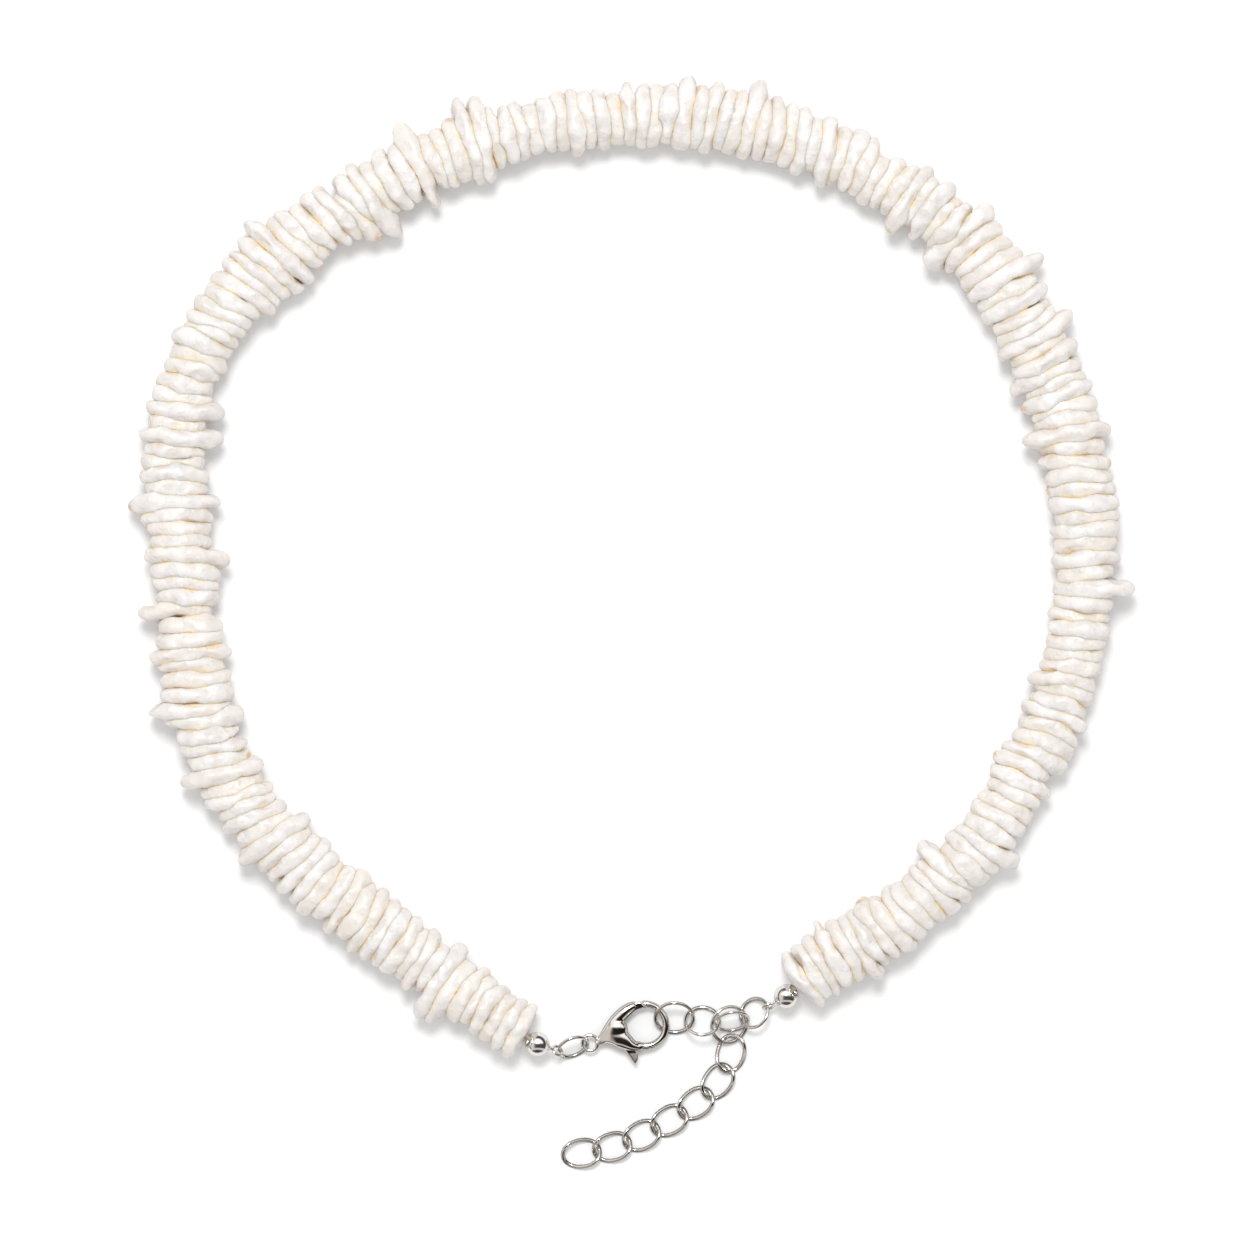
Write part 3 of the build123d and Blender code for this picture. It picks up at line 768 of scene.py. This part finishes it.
# %% [markdown]
# ## Building the string
# Every chip has the same net of corners, a ring of places round the hole for each step out and back.
# One net of faces is made once and repeated for each chip. The string is cut into four pieces, so that
# each stays light enough to export. The push of the skin could press a chip into the white surface, so
# what would lie lower is set down on it.

# %% Net of faces of one chip
turn_count, step_count = len(turns), len(shares)
places_each = turn_count * step_count
grid = np.arange(places_each).reshape(turn_count, step_count)
right, below = np.roll(grid, -1, axis=0), np.roll(grid, -1, axis=1)
one_chip = np.stack([grid, right, np.roll(right, -1, axis=1), below], axis=-1).reshape(-1, 4)
print("faces on each chip:", len(one_chip))

# %% Build the chips, a quarter of the string in each piece
QUARTERS = 4

triangles = 0
for quarter in range(QUARTERS):
    mine = np.arange(count * quarter // QUARTERS, count * (quarter + 1) // QUARTERS)
    name = f"shell_chips_{quarter + 1}"
    faces = np.concatenate([one_chip + places_each * k for k in range(len(mine))])
    mesh = bpy.data.meshes.new(name)
    mesh.from_pydata((places[mine].reshape(-1, 3) * MM).tolist(), [], faces.tolist())
    for key, values in (("seam", seam), ("tone", tone), ("tip", tip), ("ends", ends)):
        attribute = mesh.attributes.new(key, "FLOAT", "POINT")
        attribute.data.foreach_set("value", values[mine].reshape(-1).astype(np.float32))
    piece = baked(name, mesh, shell_skin, Material=shell.material)
    lying = points_of(piece.data)
    lying[:, 2] = np.maximum(lying[:, 2], LIES_AT * MM)
    move_points(piece.data, lying)
    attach(piece, "necklace")
    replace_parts(piece, "shell_chips")
    triangles += 2 * len(piece.data.polygons)
print("triangles in the chips:", triangles)

# %% [markdown]
# ## Wire
# The jump rings are bent from round wire, and the wire of the chain's links is rolled a little flat,
# which makes the light run in broken lines. A curve with a bevel would give round wire only. So one
# node tree draws wire of any size along any path: its profile is a circle, flattened or not, that can
# turn on its way.

# %% Wire along a path, made by Geometry Nodes
def wire_tree():
    """Wire of a given radius along a curve; its flattened profile turns on the way."""
    tree, given = geometry_tree("bent_wire", Wire_Radius=0.25 * MM, Flatness=0.0, Profile_Turns=0.0, Sides=20)
    profile = tree.node(
        "GeometryNodeCurvePrimitiveCircle", {"Resolution": given["Sides"], "Radius": given["Wire Radius"]}
    ).outputs[0]
    narrow = tree.math("SUBTRACT", 1.0, given["Flatness"])
    scale = tree.node("ShaderNodeCombineXYZ", {"X": 1.0, "Y": narrow, "Z": 1.0}).outputs[0]
    flat = tree.node("GeometryNodeTransform", {"Geometry": profile, "Scale": scale}).outputs[0]
    along = tree.node("GeometryNodeSplineParameter").outputs["Factor"]
    angle = tree.math("MULTIPLY", tree.math("MULTIPLY", along, given["Profile Turns"]), 2 * math.pi)
    tilted = tree.node("GeometryNodeSetCurveTilt", {"Curve": given["Geometry"], "Tilt": angle}).outputs[0]
    tube = tree.node(
        "GeometryNodeCurveToMesh", {"Curve": tilted, "Profile Curve": flat, "Fill Caps": True}
    ).outputs[0]
    return end_tree(tree, given, tube)


bent_wire = wire_tree()


# %% A piece of silver wire
def wire_piece(name, path, wire, closed=False, flatness=0.0, profile_turns=0.0):
    """Silver wire along places in mm, riding with the necklace."""
    curve = bpy.data.curves.new(name, "CURVE")
    curve.dimensions = "3D"
    spline = curve.splines.new("POLY")
    spline.points.add(len(path) - 1)
    for point, place in zip(spline.points, path):
        point.co = (*(np.asarray(place) * MM), 1)
    spline.use_cyclic_u = closed
    piece = baked(
        name, curve, bent_wire, Wire_Radius=wire * MM, Flatness=flatness, Profile_Turns=profile_turns,
        Material=silver.material,
    )
    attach(piece, "necklace")
    return piece


# %% [markdown]
# ## Rings
# A jump ring is cut from a coil of wire and closed by hand, so it keeps a fine butt joint. Its CAD node
# is a tube with few sides. The middle, the tilt and the wire's thickness are measured on that tube, and
# a rounder ring is drawn in its place.

# %% Path of an open ring
RING_POINTS = 84


def corners_of(name):
    """The different corners of a CAD node, in mm."""
    return np.unique(points_of(nodes[name].data).round(7), axis=0) / MM


def ring_path(middle, normal, radius, joint_turn, split):
    first = np.cross(normal, [0.0, 0.0, 1.0])
    first /= np.linalg.norm(first)
    second = np.cross(normal, first)
    open_by = split / radius / 2
    turns = np.radians(joint_turn) + np.linspace(open_by, 2 * math.pi - open_by, RING_POINTS)
    return middle + radius * (np.cos(turns)[:, None] * first + np.sin(turns)[:, None] * second)


# %% Rings, each measured on its CAD ring
BUTT_JOINT = 0.05
JOINT_TURNS = {
    "jump_ring_left": 200,
    "chain_ring_1": 60,
    "chain_ring_2": 100,
    "chain_ring_3": 250,
    "jump_ring_right": 20,
}

for name, joint_turn in JOINT_TURNS.items():
    corners = corners_of(name)
    middle = corners.mean(axis=0)
    normal = np.linalg.svd(corners - middle)[2][2]
    up = (corners - middle) @ normal
    wire = abs(up).max()
    radius = np.linalg.norm(corners - middle - up[:, None] * normal, axis=1).max() - wire
    piece = wire_piece(name + "_wire", ring_path(middle, normal, radius, joint_turn, BUTT_JOINT), wire)
    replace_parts(piece, name)
    print(name, "radius", radius.round(2), "wire", wire.round(2), "middle", middle.round(2))

# %% [markdown]
# ## Inner ring of the junction
# Where the extender meets the string a second, smaller ring lies inside the first. It has no node in
# the frame, because among its neighbours it has no room that is free on all sides. It leans between
# them here, so its place and tilt are given below.

# %% Second ring of the junction, which lies inside the first
INNER_AT = np.array([13.97, -55.99, 2.26])
INNER_NORMAL = np.array([0.128, -0.808, 0.575])
INNER_RADIUS = 2.35
INNER_WIRE = 0.2
INNER_JOINT_TURN = 290

inner_path = ring_path(INNER_AT, INNER_NORMAL, INNER_RADIUS, INNER_JOINT_TURN, BUTT_JOINT)
wire_piece("junction_inner_ring", inner_path, INNER_WIRE)
print("inner ring, mm across:", 2 * (INNER_RADIUS + INNER_WIRE))

# %% [markdown]
# ## Links of the extender
# A curb link is an oval that is twisted until the chain lies flat: seen from the side, its ends tip
# opposite ways. One formula draws the twisted oval, a little fuller than an ellipse. Each link takes its
# place and heading from its CAD link, and its wire turns once on its way round.

# %% Form of a link
LINK_OUTER_LONG, LINK_OUTER_WIDE = 5.75, 4.3
LINK_WIRE = 0.28
LINK_TWIST = 0.58
LINK_FULLNESS = 2.15
LINK_POINTS = 72

half_long, half_wide = LINK_OUTER_LONG / 2 - LINK_WIRE, LINK_OUTER_WIDE / 2 - LINK_WIRE
link_turns = np.linspace(0, 2 * math.pi, LINK_POINTS, endpoint=False)
cos, sin = np.cos(link_turns), np.sin(link_turns)
flat_link = np.column_stack([
    half_long * np.sign(cos) * abs(cos) ** (2 / LINK_FULLNESS),
    half_wide * np.sign(sin) * abs(sin) ** (2 / LINK_FULLNESS),
    -LINK_TWIST * np.sin(2 * link_turns),
])
print("link, mm:", LINK_OUTER_LONG, "x", LINK_OUTER_WIDE)

# %% Twisted links of the extender
TAIL_LINKS = 7
LINK_FLATNESS = 0.08

for number in range(1, TAIL_LINKS + 1):
    name = f"tail_link_{number}"
    corners = corners_of(name)
    middle = (corners.min(axis=0) + corners.max(axis=0)) / 2
    flat = corners[:, :2] - middle[:2]
    heading = np.linalg.svd(flat - flat.mean(axis=0))[2][0]
    across = np.array([-heading[1], heading[0]])
    level = flat_link[:, :1] * heading + flat_link[:, 1:2] * across
    path = np.column_stack([level, flat_link[:, 2]]) + middle
    piece = wire_piece(
        name + "_wire", path, LINK_WIRE, closed=True, flatness=LINK_FLATNESS, profile_turns=1.0
    )
    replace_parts(piece, name)
    print(name, "middle", middle.round(2))

# %% [markdown]
# ## Bead tips
# A bead tip is a hollow ball of thin sheet that closes over the knot, with a tongue curled into a loop.
# It could be modelled from a sphere, but it is turned here like a vase on a lathe, because one outline
# gives the ball, its neck and the rolled edge of its mouth together. The mouth, at the string's side,
# is notched where the maker crimps it.

# %% A lathe for small silver parts
def quads_between(rows, sides):
    """Four-sided faces between rings of places, one ring after another."""
    return [
        (r * sides + c, r * sides + (c + 1) % sides, (r + 1) * sides + (c + 1) % sides, (r + 1) * sides + c)
        for r in range(rows - 1) for c in range(sides)
    ]


def lathe(name, outline, at, way, teeth, tooth_deep, tooth_span, sides=72):
    """Mesh of an outline (distance along, radius) in mm, spun about a line."""
    way = np.asarray(way, float) / np.linalg.norm(way)
    side = np.cross(way, [0.0, 0.0, 1.0])
    side /= np.linalg.norm(side)
    over = np.cross(side, way)
    turns = np.linspace(0, 2 * math.pi, sides, endpoint=False)
    outline = np.array(outline, float)
    notch = np.where((outline[:, 0] > tooth_span[0]) & (outline[:, 0] < tooth_span[1]), tooth_deep, 0)
    radii = outline[:, 1:] * np.ones(sides) - notch[:, None] * (0.5 + 0.5 * np.cos(teeth * turns))
    places = at + outline[:, :1, None] * way + radii[..., None] * (
        np.cos(turns)[:, None] * side + np.sin(turns)[:, None] * over
    )
    rows = len(outline)
    caps = [tuple(range(sides))[::-1], tuple(range((rows - 1) * sides, rows * sides))]
    mesh = bpy.data.meshes.new(name)
    mesh.from_pydata((places.reshape(-1, 3) * MM).tolist(), [], quads_between(rows, sides) + caps)
    return mesh


# %% Clean meshes and silver pieces
def tidy(mesh):
    """Merges doubles, turns all faces outwards and shades them smooth."""
    shape = bmesh.new()
    shape.from_mesh(mesh)
    bmesh.ops.remove_doubles(shape, verts=shape.verts, dist=1e-7)
    bmesh.ops.recalc_face_normals(shape, faces=shape.faces)
    for face in shape.faces:
        face.smooth = True
    shape.to_mesh(mesh)
    shape.free()


def silver_piece(name, mesh, body, finish=silver):
    mesh.materials.append(finish.material)
    piece = bpy.data.objects.new(name, mesh)
    bpy.context.collection.objects.link(piece)
    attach(piece, body)
    return piece


# %% Outline of a bead tip, from its mouth over the ball to the end of its neck
BALL = 1.7
MOUTH_TURN, NECK_TURN = 142, 24
TEETH = 18
TOOTH_DEEP = 0.12
TOOTH_SPAN = (-1.6, -1.36)
MOUTH = [(-1.1, 0.6), (-1.3, 0.62), (-1.42, 0.74), (-1.5, 0.9), (-1.53, 1.04), (-1.47, 1.14), (-1.38, 1.14)]
TIP_NECK = [(1.68, 0.52), (1.85, 0.41), (2.05, 0.33), (2.3, 0.26), (2.55, 0.21), (2.62, 0.1)]

ball_turns = np.radians(np.linspace(MOUTH_TURN, NECK_TURN, 40))
ball_outline = MOUTH + [(BALL * math.cos(t), BALL * math.sin(t)) for t in ball_turns] + TIP_NECK
print("bead tip, mm long without its loop:", TIP_NECK[-1][0] - min(MOUTH)[0])

# %% Bead tips with their loops
LOOP_AT = 3.2
LOOP_RADIUS = 0.72
LOOP_WIRE = 0.2
# Middle of each ball, and of its loop in the frame, in mm
BEAD_TIPS = {
    "bead_tip_left": ((-13.3, -59.1, 3.7), (-10.53, -60.10, 2.45)),
    "bead_tip_right": ((21.5, -52.4, 3.7), (19.02, -53.96, 2.28)),
}

for name, (ball_at, loop_at) in BEAD_TIPS.items():
    at, loop_at = np.array(ball_at), np.array(loop_at)
    way = (loop_at - at) / np.linalg.norm(loop_at - at)
    ball = lathe(name + "_ball", ball_outline, at, way, TEETH, TOOTH_DEEP, TOOTH_SPAN)
    tidy(ball)
    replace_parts(silver_piece(name + "_ball", ball, "necklace", satin), name)
    loop_corners = corners_of(name)
    far = loop_corners[(loop_corners - at) @ way > LOOP_AT]
    spread_way = np.linalg.svd(far - far.mean(axis=0))[2][0]
    normal = np.cross(way, spread_way - (spread_way @ way) * way)
    normal /= np.linalg.norm(normal)
    loop = ring_path(at + way * LOOP_AT, normal, LOOP_RADIUS, 0, 0.0)
    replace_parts(wire_piece(name + "_loop", loop[:-1], LOOP_WIRE, closed=True), name)
    print(name, "ball faces:", len(ball.polygons))

# %% [markdown]
# ## The clasp's casting
# The lobster claw is cast: two tapering arms grow out of the neck, one up to the shoulder and one round
# into the claw, with a web between them. Boxes with rounded edges would look machined. Overlapping
# tapered tubes give these forms, and a voxel remesh melts them into one skin, as wax does in a casting.

# %% Lines and tapered tubes
CURVE_POINTS = 48
ARC_POINTS = 40
TUBE_SIDES = 28
CAP_TURNS = np.radians([80, 60, 40, 20])


def smooth_path(rows):
    """Places and radii along a smooth line through rows of x, y, radius."""
    rows = np.array(rows, float)
    padded = np.vstack([2 * rows[0] - rows[1], rows, 2 * rows[-1] - rows[-2]])
    out = []
    for k in range(len(rows) - 1):
        a, b, c, d = padded[k : k + 4]
        square, cube = 2 * a - 5 * b + 4 * c - d, 3 * b - a - 3 * c + d
        for t in np.linspace(0, 1, CURVE_POINTS // (len(rows) - 1), endpoint=False):
            out.append(0.5 * (2 * b + (c - a) * t + square * t**2 + cube * t**3))
    return np.array(out + [rows[-1]])


def arc(centre, radius, start, end, wires):
    """Places and radii along an arc; the wire's radius goes through the given ones."""
    turns = np.radians(np.linspace(start, end, ARC_POINTS))
    radii = np.interp(np.linspace(0, 1, ARC_POINTS), np.linspace(0, 1, len(wires)), wires)
    return np.column_stack([centre[0] + radius * np.cos(turns), centre[1] + radius * np.sin(turns), radii])


def tube(line):
    """Closed tube with round ends, lying flat at height 0, along rows of x, y, radius in mm."""
    ahead = np.gradient(line[:, :2], axis=0)
    ahead /= np.linalg.norm(ahead, axis=1)[:, None]
    (first, first_wire), (last, last_wire) = ((row[:2], row[2]) for row in (line[0], line[-1]))
    start = [(*(first - ahead[0] * first_wire * math.sin(t)), first_wire * math.cos(t)) for t in CAP_TURNS]
    end = [(*(last + ahead[-1] * last_wire * math.sin(t)), last_wire * math.cos(t)) for t in CAP_TURNS[::-1]]
    ahead = np.vstack([[ahead[0]] * len(start), ahead, [ahead[-1]] * len(end)])
    line = np.vstack([start, line, end])
    side = np.column_stack([-ahead[:, 1], ahead[:, 0]])
    turns = np.linspace(0, 2 * math.pi, TUBE_SIDES, endpoint=False)
    flat = line[:, None, :2] + line[:, 2][:, None, None] * np.cos(turns)[:, None] * side[:, None]
    high = line[:, 2][:, None, None] * np.sin(turns)[:, None] * np.ones((len(line), 1, 1))
    caps = [tuple(range(TUBE_SIDES)), tuple(range((len(line) - 1) * TUBE_SIDES, len(line) * TUBE_SIDES))]
    return np.concatenate([flat, high], axis=-1).reshape(-1, 3), quads_between(len(line), TUBE_SIDES) + caps


# %% Joining and melting
SOFTEN_BY = 0.5


def faces_of(mesh):
    return [tuple(face.vertices) for face in mesh.polygons]


def joined(parts):
    """One mesh in mm from several (places, faces)."""
    places, faces, start = [], [], 0
    for more, their_faces in parts:
        places.append(more)
        faces += [tuple(start + k for k in face) for face in their_faces]
        start += len(more)
    mesh = bpy.data.meshes.new("parts")
    mesh.from_pydata(np.concatenate(places).tolist(), [], faces)
    return mesh


def melted(name, mesh, voxel, rounds):
    """The mesh remeshed into one skin and smoothed, as a new mesh. All in mm."""
    tidy(mesh)
    work = bpy.data.objects.new(name + "_work", mesh)
    bpy.context.collection.objects.link(work)
    remesh = work.modifiers.new("melt", "REMESH")
    remesh.mode = "VOXEL"
    remesh.voxel_size = voxel
    soften = work.modifiers.new("soften", "SMOOTH")
    soften.factor = SOFTEN_BY
    soften.iterations = rounds
    ready = work.evaluated_get(bpy.context.evaluated_depsgraph_get())
    made = bpy.data.meshes.new_from_object(ready)
    made.name = name
    bpy.data.objects.remove(work)
    print(name, "faces:", len(made.polygons))
    return made


# %% Arms, web, claw, eye and neck, in mm about the middle of the eye
CLAW_AT = np.array([7.7, 2.5])
CLAW_RADIUS = 2.97
CLAW_WIRES = [0.54, 0.5, 0.48, 0.47, 0.47, 0.48]
EYE_RADIUS = 1.1
EYE_WIRES = [0.25, 0.25]
MELT = 0.075

upper_arm = [(1.4, 0.45, 0.45), (2.55, 1.75, 0.8), (3.75, 3.3, 0.92), (5.0, 4.5, 0.84), (6.05, 5.18, 0.68)]
lower_arm = [
    (1.4, 0.4, 0.45), (2.6, 0.7, 0.9), (3.7, 0.75, 1.3),
    (4.6, 0.4, 1.3), (5.7, -0.3, 0.95), (6.95, -0.68, 0.6),
]
web = [(2.3, 1.0, 0.7), (3.4, 1.85, 1.3), (3.95, 2.0, 1.35)]
neck = [(1.0, 0.0, 0.3), (1.35, 0.08, 0.4), (1.8, 0.3, 0.5)]
claw = arc(CLAW_AT, CLAW_RADIUS, -108, 93, CLAW_WIRES)
eye = arc((0.0, 0.0), EYE_RADIUS, 0, 352, EYE_WIRES)

arms = melted("arms", joined([tube(smooth_path(rows)) for rows in (upper_arm, lower_arm, web)]), MELT, 45)
thin_parts = [tube(line) for line in (claw, eye, smooth_path(neck))]
casting = melted("casting", joined([(points_of(arms), faces_of(arms)), *thin_parts]), MELT, 8)

# %% [markdown]
# ## The depth of the body
# The real body is deep where the lever turns in it, and thin at the neck and the claw. Between the two
# the melted tubes are stretched upwards and downwards, with a flattened top, and less and less towards
# both ends. A curve of the height does this more evenly than moving corners by hand.

# %% The casting is deeper in the middle than at its ends
DEEP_FROM, DEEP_OVER = 1.4, 1.6
THIN_FROM, THIN_OVER = 7.6, 1.8
DOME, DOME_STEEP = 1.5, 1.4

skin = points_of(casting)
along = skin[:, 0]
deep = np.clip((along - DEEP_FROM) / DEEP_OVER, 0, 1) * np.clip((THIN_FROM - along) / THIN_OVER, 0, 1)
deep = deep**2 * (3 - 2 * deep)
domed = DOME * np.tanh(DOME_STEEP * skin[:, 2] / DOME)
skin[:, 2] += (domed - skin[:, 2]) * deep
move_points(casting, skin)
print("casting depth, mm:", np.ptp(skin[:, 2]).round(2))

# %% [markdown]
# ## The lever
# The sprung lever closes the claw. It has to lie where the frame's lever lies, so its own mesh is
# copied and melted, which softens its edges as polishing does. Its tab is raised a little, to catch the
# thumbnail and the light.

# %% Copies of CAD meshes, and the way back
CLASP_AT = np.array([-5.95, -59.08, 1.5])


def copy_of(name):
    """Merged copy of a CAD node's mesh, in mm about the eye of the clasp."""
    mesh = nodes[name].data.copy()
    mesh.materials.clear()
    move_points(mesh, points_of(mesh) / MM - CLASP_AT)
    shape = bmesh.new()
    shape.from_mesh(mesh)
    bmesh.ops.remove_doubles(shape, verts=shape.verts, dist=1e-4)
    shape.to_mesh(mesh)
    shape.free()
    return mesh


def to_world(mesh):
    """Puts a mesh made in mm about the clasp's eye into its place in metres."""
    move_points(mesh, (points_of(mesh) + CLASP_AT) * MM)
    for face in mesh.polygons:
        face.use_smooth = True


# %% Lever with soft edges and a raised tab
TAB_FROM = -1.4
TAB_RISE = 0.07
LEVER_MELT = 0.05

lever = melted("clasp_gate", copy_of("clasp_lever"), LEVER_MELT, 24)
tab = points_of(lever)
tab[:, 2] += TAB_RISE * np.clip(TAB_FROM - tab[:, 1], 0, None)
move_points(lever, tab)

# %% [markdown]
# ## The slot
# The lever needs a slot that it can swing through. A hand-drawn slot might touch it somewhere on its
# way. So copies of the lever at many turns of its travel are melted into one cutter, the cutter is made
# a little larger all round, and a Boolean takes it out of the casting. Melting the casting once more
# rounds the sharp edges of the cut.

# %% Cutter, swept by the lever over its travel
PIVOT = np.array([3.9, 1.9])
TRAVEL = 14.0
SWEEPS = 15
LEVER_PLAY = 0.12
SLOT_MELT = 0.06
SLOT_ROUNDS = 12

lever_shape = copy_of("clasp_lever")
at_rest = points_of(lever_shape)
sweep_parts = []
for turn in np.radians(np.linspace(0, -TRAVEL, SWEEPS)):
    cos, sin = math.cos(turn), math.sin(turn)
    swung = (at_rest[:, :2] - PIVOT) @ np.array([[cos, sin], [-sin, cos]]) + PIVOT
    sweep_parts.append((np.column_stack([swung, at_rest[:, 2]]), faces_of(lever_shape)))
cutter = melted("cutter", joined(sweep_parts), SLOT_MELT, SLOT_ROUNDS)
normals = np.array([v.normal for v in cutter.vertices])
move_points(cutter, points_of(cutter) + LEVER_PLAY * normals)

# %% Slot cut out of the casting
tool = bpy.data.objects.new("cutter", cutter)
block = bpy.data.objects.new("casting_work", casting)
bpy.context.collection.objects.link(tool)
bpy.context.collection.objects.link(block)
cut = block.modifiers.new("slot", "BOOLEAN")
cut.object = tool
cut.operation = "DIFFERENCE"
cut.solver = "EXACT"
sharp_cut = bpy.data.meshes.new_from_object(block.evaluated_get(bpy.context.evaluated_depsgraph_get()))
bpy.data.objects.remove(block)
bpy.data.objects.remove(tool)
body_mesh = melted("clasp_casting", sharp_cut, SLOT_MELT, SLOT_ROUNDS)
body_mesh.materials.clear()

# %% Clasp in its place
to_world(body_mesh)
to_world(lever)
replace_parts(silver_piece("clasp_casting", body_mesh, "necklace"), "clasp_body")
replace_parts(silver_piece("clasp_gate", lever, "lever"), "clasp_lever")
print("clasp faces:", len(body_mesh.polygons) + len(lever.polygons))
